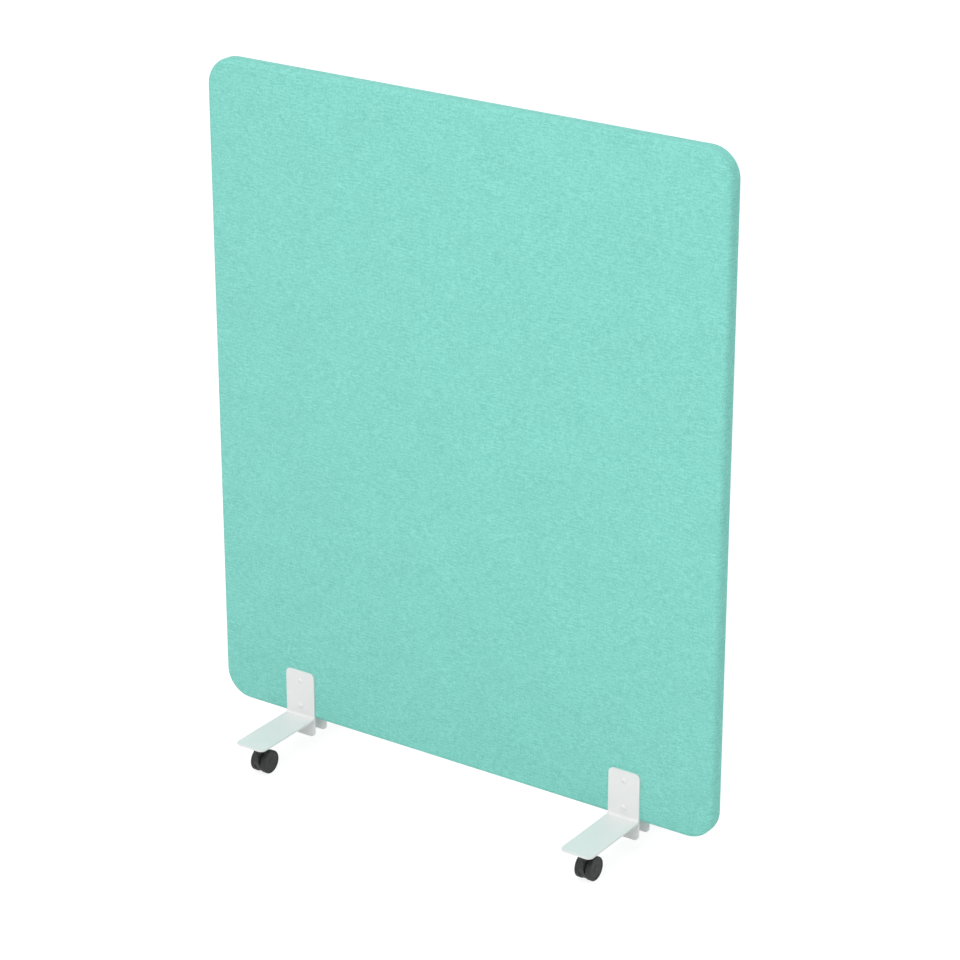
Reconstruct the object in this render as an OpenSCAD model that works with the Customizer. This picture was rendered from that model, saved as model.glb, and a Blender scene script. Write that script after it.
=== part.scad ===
// Acoustic divider screen on four caster feet.
// A padded panel, wrapped in fabric over foam and a timber frame, stands between two pairs of
// steel foot brackets. Each bracket carries one swivelling twin-wheel caster.
// Frame: origin on the floor under the middle of the panel, X along the panel's width,
// the front faces -Y, Z up.

/* [Panel] */
// Width of the padded panel
panel_w = 1200; // [800:10:1800]
// Height of the padded panel
panel_h = 1400; // [900:10:1800]
// Thickness of the padded panel, face to face
panel_t = 36; // [32:1:48]
// Radius of the panel's four corners, seen from the front
panel_corner_r = 60; // [40:1:90]
// Radius of the soft rounding round the front and rear rims
panel_rim_r = 10; // [9:0.5:14]

/* [Upholstery] */
// Thickness of the fabric cover
cover_t = 1.2; // [0.8:0.1:1.5]
// Thickness of the foam between fabric and frame
foam_t = 7.2; // [6:0.1:8]
// Air left between the layers of the upholstery
lay_gap = 0.3; // [0.2:0.05:0.5]

/* [Timber frame] */
// Width of the rails and stiles
rail_w = 60; // [50:1:80]
// Side of the square corner blocks
corner_block = 100; // [95:1:140]
// Width of the two blocks that the feet are screwed to
foot_block_w = 110; // [80:1:140]
// Height of those blocks above the bottom rail
foot_block_h = 50; // [40:1:70]
// Diameter of the dowels that join rails, stiles and corner blocks
dowel_d = 8; // [6:0.5:10]
// Length of a dowel
dowel_l = 40; // [30:1:60]
// Distance between the two dowels of a joint
dowel_pitch = 30; // [24:1:36]
// Room left past each end of a dowel for glue
dowel_end_gap = 1; // [0.5:0.1:2]

/* [Foot brackets] */
// Distance from the panel's end to the middle of a foot
foot_inset = 200; // [160:5:260]
// Width of the plate and of the arm
plate_w = 72; // [60:1:90]
// Thickness of the steel
plate_t = 4; // [3:0.5:6]
// Height of the plate above the panel's bottom edge
plate_rise = 105; // [95:1:130]
// Depth of the plate below the panel's bottom edge
plate_drop = 41; // [30:1:55]
// Radius of the plate's four corners
plate_corner_r = 11; // [5:0.5:16]
// Length of the arm from the plate's face
arm_reach = 178; // [150:1:240]
// Radius of the arm's two outer corners
arm_corner_r = 12; // [5:0.5:20]
// Height of the arm's top face above the panel's bottom edge
arm_lift = 2; // [0:0.5:6]
// Radius of the blend where the arm's top meets the plate
root_top_r = 6; // [3:0.5:8]
// Radius of the weld under the arm
root_weld_r = 3; // [2:0.5:5]
// Height of the lower screw above the panel's bottom edge
lower_screw_rise = 24; // [20:1:30]
// Distance between the two screws of a plate
screw_pitch = 59; // [52:1:66]

/* [Screws and sleeves] */
// Diameter of the screw's shank
screw_d = 6; // [5:0.5:8]
// Length of the screw under its head
screw_l = 15; // [12:1:16]
// Clearance hole in the plate, beyond the shank's diameter
screw_hole_play = 0.6; // [0.3:0.1:1]
// Diameter of the flange under the screw's head
screw_flange_d = 13.6; // [12:0.1:15]
// Thickness of that flange
screw_flange_t = 1; // [0.6:0.1:1.5]
// Diameter of the domed head
screw_head_d = 10.6; // [9:0.1:11.5]
// Height of the whole head, flange included
screw_head_h = 3.6; // [3:0.1:4.5]
// Width across the flats of the hexagon socket
socket_af = 4; // [3:0.5:5]
// Depth of the hexagon socket
socket_depth = 2.1; // [1.5:0.1:2.5]
// Outer diameter of the threaded sleeves through the panel
sleeve_d = 10; // [9:0.5:14]

/* [Casters] */
// Diameter of a wheel
wheel_d = 50; // [44:1:60]
// Width of a wheel
wheel_w = 11.5; // [10:0.5:16]
// Radius of the rounding at both edges of the tread
tread_edge_r = 1.6; // [0.8:0.1:2.5]
// Thickness of the wheel's rim under the tread
wheel_rim_t = 2.6; // [2:0.1:4]
// Thickness of the wheel's outer face
wheel_face_t = 1.8; // [1.4:0.1:2.5]
// Depth of the shallow dish in the outer face
dish_depth = 0.5; // [0.4:0.1:1.2]
// Width of the flat ring outside the dish
dish_margin = 4; // [3:0.5:6]
// Diameter of the flat boss in the middle of the dish
dish_boss_d = 12; // [8:0.5:16]
// Thickness of the ribs inside a wheel
wheel_rib_t = 1.4; // [1:0.1:2]
// Outer diameter of the wheel's hub
wheel_hub_d = 11; // [9:0.5:14]
// Width of the moulded body between the wheels
body_w = 11.5; // [11:0.5:16]
// Side clearance between the body and each wheel
wheel_side_gap = 0.7; // [0.3:0.05:0.9]
// Distance by which the body's round part stays inside the wheels' tread
body_set_back = 1.5; // [1:0.1:3]
// Height of the body's flat underside above the floor
body_ground_gap = 4.5; // [3:0.5:7]
// Diameter of the neck on top of the body
neck_d = 18; // [15:0.5:22]
// Height of the middle of the body's round nose above the axle
nose_rise = 10; // [7:0.5:14]
// Height of the neck
neck_h = 7; // [5:0.5:12]
// Air between the wheels and the neck
neck_gap = 0.8; // [0.5:0.1:2]
// Depth of the moulded pockets in the body's sides
pocket_depth = 3; // [2:0.1:4]
// Wall left round the moulded pockets
pocket_wall = 2.4; // [1.8:0.1:3.5]
// Diameter of the axle
axle_d = 5; // [4:0.5:6]
// Distance by which the axle trails the swivel
trail = 21; // [16:0.5:24]
// Distance of the swivel from the arm's outer end
stem_inset = 31; // [24:1:45]
// Diameter of the stem's threaded end
stem_thread_d = 10; // [8:0.5:12]
// Width across the flats of the stem's hexagon
stem_hex_af = 14; // [12:0.5:17]
// Height of the stem's hexagon
stem_hex_h = 5; // [3:0.5:8]
// Diameter of the stem's pin inside the body
stem_pin_d = 7; // [6:0.5:7.5]
// Length of the stem's pin inside the body
stem_pin_l = 25; // [20:0.5:28]
// Diameter of the welded boss under the arm
boss_d = 20; // [16:0.5:26]
// Height of the welded boss
boss_h = 10; // [8:0.5:14]

/* [Fits] */
// Radial clearance of a pin or shaft in its bore
fit_gap = 0.05; // [0.02:0.01:0.08]
// Height of the running gap under the stem's hexagon
swivel_gap = 0.3; // [0.2:0.05:0.5]
// Chamfer on pins, stems and bosses
chamfer = 0.6; // [0.3:0.1:1]

/* [Hidden] */
$fn = 96;
// Overrun of every cut past the face it opens
overrun = 1;

// Colours of the finishes
fabric_colour = "#8bdace";
foam_colour = "#d9d8d2";
felt_colour = "#9a9c9c";
timber_colour = "#d8bd8e";
enamel_colour = "#eceeee";
steel_colour = "#b9bcc0";
nylon_colour = "#3c3e40";

// Layers of the upholstery, measured inwards from the fabric's outer face
wrap_t = cover_t + foam_t + 2 * lay_gap;
foam_out = cover_t + lay_gap;
foam_in = foam_out + foam_t;
board_w = panel_w - 2 * wrap_t;
board_h = panel_h - 2 * wrap_t;
board_t = panel_t - 2 * wrap_t;
board_r = panel_corner_r - wrap_t;

// Caster, from the floor up
wheel_r = wheel_d / 2;
body_r = wheel_r - body_set_back;
neck_z = wheel_d + neck_gap;
body_top_z = neck_z + neck_h;
hex_z = body_top_z + swivel_gap;
boss_z = hex_z + stem_hex_h;
arm_z = boss_z + boss_h;
arm_top_z = arm_z + plate_t;
panel_z = arm_top_z - arm_lift;
panel_mid_z = panel_z + panel_h / 2;
pin_end_z = body_top_z - stem_pin_l;

// Foot, measured outwards from the middle of the panel
face_y = panel_t / 2;
plate_y = face_y + plate_t;
stem_y = plate_y + arm_reach - stem_inset;
axle_y = stem_y - trail;
foot_x = panel_w / 2 - foot_inset;
plate_h = plate_rise + plate_drop;
screw_zs = [panel_z + lower_screw_rise, panel_z + lower_screw_rise + screw_pitch];

// Wheels and axle
wheel_x = body_w / 2 + wheel_side_gap;
axle_end_gap = 0.4;
axle_half = wheel_x + wheel_w - wheel_face_t - dish_depth - axle_end_gap;
wheel_rib_count = 6;
wheel_rib_set_back = wheel_w / 4;
body_rib_count = 6;

// Snap groove near each end of the axle, and the bead in the hub that runs in it
snap_depth = 0.5;
snap_w = 1.6;
snap_inset = 1.4;
snap_play = 0.2;
snap_y = axle_half - wheel_x - snap_inset - snap_w;

// Retaining ring on the swivel pin, with its groove in the pin and its recess in the body
ring_t = 1;
ring_rise = 3;
ring_bite = 0.5;
ring_stand = 0.7;
ring_play = 0.1;
ring_angle = 300;

// Feet: name, side along X, side along Y
FEET = [
    ["front_left", -1, -1],
    ["front_right", 1, -1],
    ["rear_left", -1, 1],
    ["rear_right", 1, 1]
];
FOOT_PIECES = [
    "bracket", "screws", "stem_boss", "stem", "retaining_ring",
    "caster_body", "axle", "left_wheel", "right_wheel"
];
PANEL_PIECES = [
    "front_cover", "rear_cover", "front_foam", "rear_foam", "acoustic_core",
    "frame_top_rail", "frame_bottom_rail", "frame_left_stile", "frame_right_stile",
    "frame_corner_blocks", "frame_foot_blocks", "frame_dowels",
    "left_foot_sleeves", "right_foot_sleeves"
];

// Rectangle with true round corners, centred
module rounded_rect(w, h, r) {
    square([w - 2 * r, h], center = true);
    square([w, h - 2 * r], center = true);
    for (x = [-1, 1], y = [-1, 1])
        translate([x * (w / 2 - r), y * (h / 2 - r)])
            circle(r = r);
}

// Section of a slab's side: from the corner's centre outwards, and from the seam up to the face
module rim_section(reach, half_t, rim_r, below) {
    translate([0, -below])
        square([reach, half_t - rim_r + below]);
    square([reach - rim_r, half_t]);
    intersection() {
        translate([reach - rim_r, half_t - rim_r])
            circle(r = rim_r);
        square([reach, half_t]);
    }
}

// Half of a padded slab, lying on its seam plane with its rounded rim up
module half_slab(w, h, half_t, corner_r, rim_r, below = 0) {
    straight_x = w - 2 * corner_r;
    straight_y = h - 2 * corner_r;
    translate([-straight_x / 2, -straight_y / 2, -below])
        cube([straight_x, straight_y, half_t + below]);
    for (side = [0, 1])
        rotate([0, 0, 180 * side]) {
            translate([-straight_x / 2, h / 2 - corner_r, 0])
                rotate([90, 0, 90])
                    linear_extrude(straight_x)
                        rim_section(corner_r, half_t, rim_r, below);
            translate([w / 2 - corner_r, straight_y / 2, 0])
                rotate([90, 0, 0])
                    linear_extrude(straight_y)
                        rim_section(corner_r, half_t, rim_r, below);
            translate([straight_x / 2, straight_y / 2, 0])
                rotate_extrude(angle = 90)
                    rim_section(corner_r, half_t, rim_r, below);
            translate([-straight_x / 2, straight_y / 2, 0])
                rotate([0, 0, 90])
                    rotate_extrude(angle = 90)
                        rim_section(corner_r, half_t, rim_r, below);
        }
}

// Stands what lies in the panel's plane upright at the panel's place; its top faces the front
module stand_up() {
    translate([0, 0, panel_mid_z])
        rotate([90, 0, 0])
            children();
}

// Turns a front half into the rear one
module to_side(side) {
    mirror([0, side > 0 ? 1 : 0, 0])
        children();
}

// One cylinder for each screw of the given feet, through the lying panel
module sleeve_cuts(r, sides = [-1, 1]) {
    for (side = sides, z = screw_zs)
        translate([side * foot_x, z - panel_mid_z, -panel_t])
            cylinder(r = r, h = 2 * panel_t);
}

module cover(side) {
    color(fabric_colour)
        to_side(side)
            stand_up()
                difference() {
                    half_slab(panel_w, panel_h, panel_t / 2, panel_corner_r, panel_rim_r);
                    half_slab(
                        panel_w - 2 * cover_t, panel_h - 2 * cover_t, panel_t / 2 - cover_t,
                        panel_corner_r - cover_t, panel_rim_r - cover_t, overrun
                    );
                    sleeve_cuts(sleeve_d / 2 + lay_gap);
                }
}

module foam(side) {
    color(foam_colour)
        to_side(side)
            stand_up()
                difference() {
                    half_slab(
                        panel_w - 2 * foam_out, panel_h - 2 * foam_out, panel_t / 2 - foam_out,
                        panel_corner_r - foam_out, panel_rim_r - foam_out
                    );
                    translate([0, 0, -overrun])
                        linear_extrude(panel_t / 2 - foam_in + overrun)
                            rounded_rect(
                                panel_w - 2 * foam_in, panel_h - 2 * foam_in, panel_corner_r - foam_in
                            );
                    sleeve_cuts(sleeve_d / 2 + lay_gap);
                }
}

// Raises an outline in the panel's plane to the board's thickness, centred on the seam plane
module board() {
    translate([0, 0, -board_t / 2])
        linear_extrude(board_t)
            children();
}

// Places of the dowels: those of the rails lie along X, those of the stiles along the height
module rail_dowels(r, l) {
    for (x = [-1, 1], y = [-1, 1], step = [-1, 1])
        translate([
            x * (board_w / 2 - corner_block),
            y * (board_h / 2 - rail_w / 2) + step * dowel_pitch / 2,
            0
        ])
            rotate([0, 90, 0])
                cylinder(r = r, h = l, center = true);
}

module stile_dowels(r, l) {
    for (x = [-1, 1], y = [-1, 1], step = [-1, 1])
        translate([
            x * (board_w / 2 - rail_w / 2) + step * dowel_pitch / 2,
            y * (board_h / 2 - corner_block),
            0
        ])
            rotate([90, 0, 0])
                cylinder(r = r, h = l, center = true);
}

module dowel_holes() {
    rail_dowels(dowel_d / 2 + fit_gap, dowel_l + 2 * dowel_end_gap);
    stile_dowels(dowel_d / 2 + fit_gap, dowel_l + 2 * dowel_end_gap);
}

module frame_dowels() {
    color(timber_colour)
        stand_up() {
            rail_dowels(dowel_d / 2, dowel_l);
            stile_dowels(dowel_d / 2, dowel_l);
        }
}

module frame_rail(side) {
    length = board_w - 2 * corner_block;
    color(timber_colour)
        stand_up()
            difference() {
                board()
                    translate([0, side * (board_h - rail_w) / 2])
                        square([length, rail_w], center = true);
                dowel_holes();
                sleeve_cuts(sleeve_d / 2 + fit_gap);
            }
}

module frame_stile(side) {
    length = board_h - 2 * corner_block;
    color(timber_colour)
        stand_up()
            difference() {
                board()
                    translate([side * (board_w - rail_w) / 2, 0])
                        square([rail_w, length], center = true);
                dowel_holes();
            }
}

// Squares that the four corner blocks fill, widened by a gap
module corner_squares(gap) {
    for (x = [-1, 1], y = [-1, 1])
        translate([x * (board_w - corner_block) / 2, y * (board_h - corner_block) / 2])
            square(corner_block + 2 * gap, center = true);
}

module frame_corner_blocks() {
    color(timber_colour)
        stand_up()
            difference() {
                board()
                    intersection() {
                        rounded_rect(board_w, board_h, board_r);
                        corner_squares(0);
                    }
                dowel_holes();
            }
}

module foot_block_outline(gap) {
    for (side = [-1, 1])
        translate([
            side * foot_x - foot_block_w / 2 - gap,
            -board_h / 2 + rail_w
        ])
            square([foot_block_w + 2 * gap, foot_block_h + gap]);
}

// Blocks that the feet are screwed to, which end where a wide corner block begins
module frame_foot_blocks() {
    color(timber_colour)
        stand_up()
            difference() {
                board()
                    difference() {
                        foot_block_outline(0);
                        corner_squares(0);
                    }
                sleeve_cuts(sleeve_d / 2 + fit_gap);
            }
}

// Sound-absorbing slab, cut to fit round the frame's blocks
module acoustic_core() {
    color(felt_colour)
        stand_up()
            board()
                difference() {
                    square([
                        board_w - 2 * rail_w - 2 * lay_gap,
                        board_h - 2 * rail_w - 2 * lay_gap
                    ], center = true);
                    corner_squares(lay_gap);
                    foot_block_outline(lay_gap);
                }
}

// Threaded sleeves that the screws of both plates meet in, so that the padding isn't crushed
module foot_sleeves(side) {
    color(steel_colour)
        for (z = screw_zs)
            translate([side * foot_x, 0, z])
                rotate([90, 0, 0])
                    difference() {
                        cylinder(d = sleeve_d, h = panel_t, center = true);
                        cylinder(r = screw_d / 2 + fit_gap, h = panel_t + 2 * overrun, center = true);
                    }
}

// Carries a foot's piece, modelled behind the panel's middle, to its own foot
module at_foot(foot) {
    translate([foot[1] * foot_x, 0, 0])
        mirror([0, foot[2] < 0 ? 1 : 0, 0])
            children();
}

// Arm seen from above, from the plate's face outwards
module arm_outline() {
    translate([-plate_w / 2, 0])
        square([plate_w, arm_reach - arm_corner_r]);
    translate([-plate_w / 2 + arm_corner_r, 0])
        square([plate_w - 2 * arm_corner_r, arm_reach]);
    for (x = [-1, 1])
        translate([x * (plate_w / 2 - arm_corner_r), arm_reach - arm_corner_r])
            circle(r = arm_corner_r);
}

// Concave blend in the corner between the plate's face and the arm
module root_blend(r) {
    rotate([90, 0, 90])
        linear_extrude(plate_w, center = true)
            difference() {
                square(r);
                translate([r, r])
                    circle(r = r);
            }
}

module bracket() {
    color(enamel_colour)
        difference() {
            union() {
                translate([0, plate_y, panel_z + (plate_rise - plate_drop) / 2])
                    rotate([90, 0, 0])
                        linear_extrude(plate_t)
                            rounded_rect(plate_w, plate_h, plate_corner_r);
                translate([0, plate_y, arm_z])
                    linear_extrude(plate_t)
                        arm_outline();
                translate([0, plate_y, arm_top_z])
                    root_blend(root_top_r);
                translate([0, plate_y, arm_z])
                    mirror([0, 0, 1])
                        root_blend(root_weld_r);
            }
            for (z = screw_zs)
                translate([0, face_y + plate_t / 2, z])
                    rotate([90, 0, 0])
                        cylinder(d = screw_d + screw_hole_play, h = plate_t + 2 * overrun, center = true);
        }
}

// Button head of a flanged screw: a true dome over a flat flange, with a hexagon socket
module screw_head() {
    dome_h = screw_head_h - screw_flange_t;
    dome_r = (pow(screw_head_d / 2, 2) + pow(dome_h, 2)) / (2 * dome_h);
    difference() {
        rotate_extrude() {
            square([screw_flange_d / 2, screw_flange_t]);
            intersection() {
                translate([0, screw_head_h - dome_r])
                    circle(r = dome_r);
                square([screw_head_d / 2, screw_head_h]);
            }
        }
        translate([0, 0, screw_head_h - socket_depth])
            cylinder(r = socket_af / sqrt(3), h = socket_depth + overrun, $fn = 6);
    }
}

module screws() {
    color(enamel_colour)
        for (z = screw_zs)
            translate([0, plate_y, z])
                rotate([-90, 0, 0]) {
                    screw_head();
                    translate([0, 0, -screw_l])
                        cylinder(d = screw_d, h = screw_l);
                }
}

// Round bar with a chamfer at its top end only, standing on its own base
module chamfered_bar(r, h) {
    cylinder(r = r, h = h - chamfer);
    translate([0, 0, h - chamfer])
        cylinder(r1 = r, r2 = r - chamfer, h = chamfer);
}

// Blind boss welded under the arm, which the caster's stem screws into
module stem_boss() {
    color(enamel_colour)
        translate([0, stem_y, arm_z])
            mirror([0, 0, 1])
                difference() {
                    chamfered_bar(boss_d / 2, boss_h);
                    translate([0, 0, -overrun])
                        cylinder(r = stem_thread_d / 2 + fit_gap, h = boss_h + 2 * overrun);
                }
}

module stem() {
    ring_z = stem_pin_l - ring_rise - ring_t;
    color(steel_colour)
        translate([0, stem_y, 0]) {
            translate([0, 0, boss_z])
                chamfered_bar(stem_thread_d / 2, boss_h - lay_gap);
            translate([0, 0, hex_z])
                cylinder(r = stem_hex_af / sqrt(3), h = stem_hex_h, $fn = 6);
            translate([0, 0, hex_z])
                mirror([0, 0, 1])
                    difference() {
                        chamfered_bar(stem_pin_d / 2, stem_pin_l + swivel_gap);
                        translate([0, 0, ring_z + swivel_gap])
                            difference() {
                                cylinder(r = stem_pin_d, h = ring_t);
                                translate([0, 0, -overrun])
                                    cylinder(r = stem_pin_d / 2 - ring_bite, h = ring_t + 2 * overrun);
                            }
                    }
        }
}

// Open spring ring that snaps into the pin's groove and holds the body on its stem
module retaining_ring() {
    inner_r = stem_pin_d / 2 - ring_bite + fit_gap;
    color(steel_colour)
        translate([0, stem_y, pin_end_z + ring_rise + ring_play / 2])
            rotate_extrude(angle = ring_angle)
                translate([inner_r, 0])
                    square([stem_pin_d / 2 + ring_stand - inner_r, ring_t - ring_play]);
}

// Corners of the flat strip between two circles, along the lines that touch both
function touching_strip(first_r, second_r, second_centre) =
    let (
        heading = atan2(second_centre[1], second_centre[0]),
        lean = acos((first_r - second_r) / norm(second_centre)),
        up = [cos(heading + lean), sin(heading + lean)],
        down = [cos(heading - lean), sin(heading - lean)]
    )
    [first_r * up, first_r * down, second_centre + second_r * down, second_centre + second_r * up];

// What a disc round the axle loses where the body is cut flat, the given height above the floor
module underside_cut(height) {
    translate([-wheel_r, -wheel_r - overrun])
        square([wheel_d, height + overrun]);
}

// Side of the moulded body: a disc round the axle, flat underneath, that runs out into a round
// nose under the column
module body_outline() {
    nose = [trail, nose_rise];
    difference() {
        circle(r = body_r);
        underside_cut(body_ground_gap);
    }
    polygon(touching_strip(body_r, neck_d / 2, nose));
    translate(nose)
        circle(r = neck_d / 2);
    translate(nose - [neck_d / 2, 0])
        square([neck_d, neck_z - wheel_r - nose_rise]);
}

// Recess in one side of the body, between the rim, the axle's hub and the swivel's column
module body_pocket() {
    difference() {
        circle(r = body_r - pocket_wall);
        circle(r = axle_d / 2 + pocket_wall);
        underside_cut(body_ground_gap + pocket_wall);
        translate([trail - stem_pin_d / 2 - ring_stand - pocket_wall, -body_r])
            square([neck_d, 2 * body_r]);
        for (turn = [0 : 360 / body_rib_count : 359])
            rotate(turn)
                translate([0, -wheel_rib_t / 2])
                    square([body_r, wheel_rib_t]);
    }
}

// Moulded body that turns on the stem and carries the axle
module caster_body() {
    recess_r = stem_pin_d / 2 + ring_stand + ring_play;
    color(nylon_colour)
        difference() {
            union() {
                translate([0, axle_y, wheel_r])
                    rotate([90, 0, 90])
                        linear_extrude(body_w, center = true)
                            body_outline();
                translate([0, stem_y, neck_z])
                    chamfered_bar(neck_d / 2, neck_h);
            }
            for (side = [0, 1])
                translate([0, axle_y, wheel_r])
                    mirror([side, 0, 0])
                        translate([body_w / 2 - pocket_depth, 0, 0])
                            rotate([90, 0, 90])
                                linear_extrude(pocket_depth + overrun)
                                    body_pocket();
            translate([0, axle_y, wheel_r])
                rotate([0, 90, 0])
                    cylinder(r = axle_d / 2 + fit_gap, h = body_w + 2 * overrun, center = true);
            translate([0, stem_y, pin_end_z - lay_gap])
                cylinder(r = stem_pin_d / 2 + fit_gap, h = stem_pin_l + lay_gap + overrun);
            translate([0, stem_y, pin_end_z + ring_rise - ring_play])
                cylinder(r = recess_r, h = ring_t + 2 * ring_play);
        }
}

module axle() {
    groove_x = axle_half - snap_inset - snap_w / 2;
    color(steel_colour)
        translate([0, axle_y, wheel_r])
            rotate([0, 90, 0])
                difference() {
                    union() {
                        chamfered_bar(axle_d / 2, axle_half);
                        mirror([0, 0, 1])
                            chamfered_bar(axle_d / 2, axle_half);
                    }
                    for (side = [-1, 1])
                        translate([0, 0, side * groove_x])
                            difference() {
                                cylinder(d = axle_d + 2 * overrun, h = snap_w, center = true);
                                cylinder(r = axle_d / 2 - snap_depth, h = snap_w + overrun, center = true);
                            }
                }
}

// Section of the wheel's shell: radius along X, from its inner side to its outer face along Y
module wheel_section() {
    dish_floor = wheel_w - dish_depth;
    dish_r = wheel_r - dish_margin;
    // Rim with a rounded tread
    translate([wheel_r - wheel_rim_t, 0])
        square([wheel_rim_t - tread_edge_r, wheel_w]);
    translate([wheel_r - tread_edge_r, tread_edge_r])
        square([tread_edge_r, wheel_w - 2 * tread_edge_r]);
    for (y = [tread_edge_r, wheel_w - tread_edge_r])
        translate([wheel_r - tread_edge_r, y])
            circle(r = tread_edge_r);
    // Outer face with its dish and its middle boss
    translate([0, dish_floor - wheel_face_t])
        square([wheel_r - tread_edge_r, wheel_face_t]);
    translate([dish_r, dish_floor - wheel_face_t])
        square([wheel_r - tread_edge_r - dish_r, wheel_face_t + dish_depth]);
    translate([0, dish_floor - wheel_face_t])
        square([dish_boss_d / 2, wheel_face_t + dish_depth]);
    // Hub round the axle, with the bead that runs in the axle's groove
    translate([axle_d / 2 + fit_gap, 0])
        square([wheel_hub_d / 2 - axle_d / 2 - fit_gap, dish_floor]);
    translate([axle_d / 2 - snap_depth + snap_play, snap_y + snap_play])
        square([wheel_hub_d / 2 - axle_d / 2, snap_w - 2 * snap_play]);
}

// Wheel on the +X side, with ribs between hub and rim
module wheel(side) {
    rib_in = (axle_d + wheel_hub_d) / 4;
    rib_out = wheel_r - wheel_rim_t / 2;
    color(nylon_colour)
        translate([0, axle_y, wheel_r])
            mirror([side < 0 ? 1 : 0, 0, 0])
                translate([wheel_x, 0, 0])
                    rotate([90, 0, 90]) {
                        rotate_extrude()
                            wheel_section();
                        for (turn = [0 : 360 / wheel_rib_count : 359])
                            rotate([0, 0, turn])
                                translate([rib_in, -wheel_rib_t / 2, wheel_rib_set_back])
                                    cube([
                                        rib_out - rib_in,
                                        wheel_rib_t,
                                        wheel_w - dish_depth - wheel_face_t / 2 - wheel_rib_set_back
                                    ]);
                    }
}

cover(-1);  // front_cover
cover(1);  // rear_cover
foam(-1);  // front_foam
foam(1);  // rear_foam
acoustic_core();
frame_rail(1);  // frame_top_rail
frame_rail(-1);  // frame_bottom_rail
frame_stile(-1);  // frame_left_stile
frame_stile(1);  // frame_right_stile
frame_corner_blocks();
frame_foot_blocks();
frame_dowels();
foot_sleeves(-1);  // left_foot_sleeves
foot_sleeves(1);  // right_foot_sleeves
for (foot = FEET) {
    at_foot(foot) bracket();
    at_foot(foot) screws();
    at_foot(foot) stem_boss();
    at_foot(foot) stem();
    at_foot(foot) retaining_ring();
    at_foot(foot) caster_body();
    at_foot(foot) axle();
    at_foot(foot) wheel(-1);
    at_foot(foot) wheel(1);
}
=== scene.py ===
# %% [markdown]
# # A woven acoustic screen on four casters
#
# This lesson dresses one free-standing divider screen: a flat, padded panel in a pale
# green cloth, held up by two pairs of white steel brackets, each on a small twin caster.
# The hard parts come from a measured construction model, which is loaded first as a fixed
# frame. Everything below is in metres, with the floor at zero, the front towards minus Y
# and the origin under the middle of the panel.

# %% Load the construction model
import math

import bmesh
import bpy
from mathutils import Matrix, Vector


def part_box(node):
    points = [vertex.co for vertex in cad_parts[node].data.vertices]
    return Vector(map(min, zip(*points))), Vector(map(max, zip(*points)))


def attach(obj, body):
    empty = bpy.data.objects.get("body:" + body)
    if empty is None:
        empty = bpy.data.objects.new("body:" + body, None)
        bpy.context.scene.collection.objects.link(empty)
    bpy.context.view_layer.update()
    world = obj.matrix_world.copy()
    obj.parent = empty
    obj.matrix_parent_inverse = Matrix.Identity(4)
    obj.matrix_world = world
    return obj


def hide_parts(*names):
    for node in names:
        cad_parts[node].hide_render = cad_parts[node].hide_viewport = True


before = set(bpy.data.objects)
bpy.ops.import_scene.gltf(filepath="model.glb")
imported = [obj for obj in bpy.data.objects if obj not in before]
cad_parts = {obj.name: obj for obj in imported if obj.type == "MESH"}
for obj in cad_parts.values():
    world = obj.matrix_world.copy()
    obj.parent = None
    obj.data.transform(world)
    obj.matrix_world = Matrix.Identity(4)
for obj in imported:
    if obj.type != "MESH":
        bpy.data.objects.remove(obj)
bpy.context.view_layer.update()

# %% [markdown]
# The cloth has to lie exactly over the board, and the brackets over the cloth. So the
# sizes are read from the frame where it holds them. The two that it can't show, the radii
# of the board's corners and of its edge, are written here.

# %% Sizes of the panel
cover_low, cover_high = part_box("front_cover")
PANEL_W = cover_high.x - cover_low.x
PANEL_H = cover_high.z - cover_low.z
PANEL_Z = cover_low.z
FACE_Y = -cover_low.y
CORNER_R = 0.060
RIM_R = 0.010
print(f"panel {PANEL_W:.4f} by {PANEL_H:.4f} m, faces at {FACE_Y:.4f} m")

# %% [markdown]
# ## Meshes that start from operators
#
# Each new piece is a bmesh: a small shape from an operator, then bevels, cuts and
# bridges, as one would work in the editor. Two helpers turn such a mesh into a finished
# object. The first smooths the shading but keeps real edges crisp. The second lets wide
# flat faces keep their own direction, so that a rounded edge doesn't dull the plate
# beside it.

# %% Turn a bmesh into an object
def finish_piece(mesh, name, material, sharp=35):
    """The mesh as a smooth object, crisp at open rims and where it turns more than sharp degrees."""
    mesh.edges.index_update()
    rims = [edge.index for edge in mesh.edges if edge.is_boundary]
    data = bpy.data.meshes.new(name)
    mesh.to_mesh(data)
    mesh.free()
    piece = bpy.data.objects.new(name, data)
    bpy.context.scene.collection.objects.link(piece)
    data.materials.append(material)
    for polygon in data.polygons:
        polygon.use_smooth = True
    data.set_sharp_from_angle(angle=math.radians(sharp))
    for index in rims:
        data.edges[index].use_edge_sharp = True
    return piece


def keep_faces_flat(piece):
    weighted = piece.modifiers.new("flat faces stay flat", "WEIGHTED_NORMAL")
    weighted.keep_sharp = True
    weighted.weight = 100


# %% [markdown]
# ## Finishes
#
# A finish is a node material. Real cloth, paint and plastic are never one flat colour,
# and what tells them apart up close is their fine grain. Each grain is a node group with
# its real size in metres as an input, built once and then placed in the materials with
# their own values. One short helper makes a node, sets it and links it, and the others
# say what the node is for.

# %% Make, set and link one node
def node(tree, kind, inputs=None, **settings):
    made = tree.nodes.new(kind)
    for name, value in settings.items():
        setattr(made, name, value)
    for key, value in (inputs or {}).items():
        if isinstance(value, bpy.types.NodeSocket):
            tree.links.new(value, made.inputs[key])
        else:
            made.inputs[key].default_value = value
    return made


def maths(tree, operation, first, second=0.0, third=0.0):
    inputs = {0: first, 1: second, 2: third}
    return node(tree, "ShaderNodeMath", inputs, operation=operation).outputs[0]


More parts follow.
